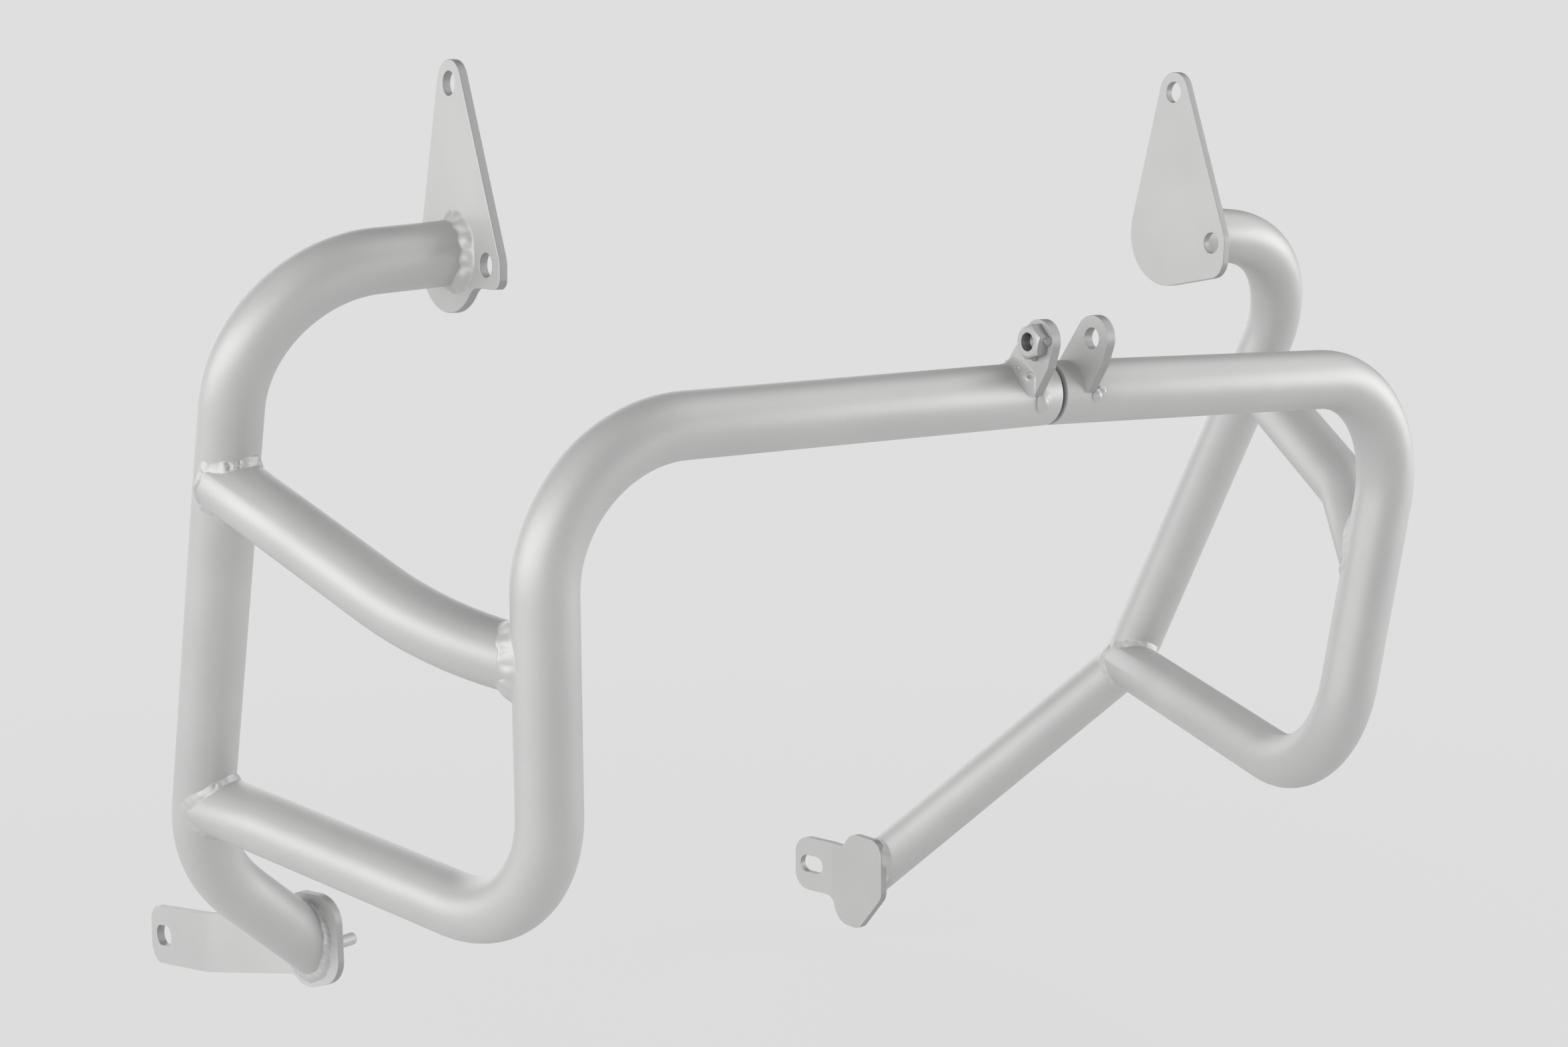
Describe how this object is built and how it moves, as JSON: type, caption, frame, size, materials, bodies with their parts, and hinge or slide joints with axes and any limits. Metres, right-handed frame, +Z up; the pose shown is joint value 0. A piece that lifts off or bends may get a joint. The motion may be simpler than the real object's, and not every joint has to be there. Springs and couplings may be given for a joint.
{
  "type": "motorcycle crash bars",
  "caption": "Pair of welded tube crash bars that clamp together at the front and bolt to a motorcycle's frame with flat plates.",
  "frame": {"origin": "on the axis of the clamp bolt, midway between the two clamp ears, above the joint of the front tubes", "axes": "+X along the clamp bolt across the motorcycle, towards the half on the picture's right; -Y towards the front; +Z up as fitted"},
  "size_m": [0.617, 0.4339, 0.4818],
  "materials": {
    "powder_coat": "satin",
    "nut_steel": "satin"
  },
  "bodies": {
    "root": {"rear_tube_left": "powder_coat", "loop_tube_left": "powder_coat", "strut_left": "powder_coat", "upper_plate_left": "powder_coat", "lower_bracket_left": "powder_coat", "clamp_ear_left": "powder_coat", "weld_loop_end_left": "powder_coat", "weld_strut_rear_left": "powder_coat", "weld_strut_front_left": "powder_coat", "weld_upper_plate_left": "powder_coat", "weld_foot_left": "powder_coat", "weld_ear_left": "powder_coat", "rear_tube_right": "powder_coat", "loop_tube_right": "powder_coat", "strut_right": "powder_coat", "upper_plate_right": "powder_coat", "lower_bracket_right": "powder_coat", "clamp_ear_right": "powder_coat", "weld_loop_end_right": "powder_coat", "weld_strut_rear_right": "powder_coat", "weld_strut_front_right": "powder_coat", "weld_upper_plate_right": "powder_coat", "weld_foot_right": "powder_coat", "weld_ear_right": "powder_coat", "weld_nut": "nut_steel", "weld_nut_tacks": "powder_coat", "peg_left": "powder_coat"}
  },
  "joints": []
}
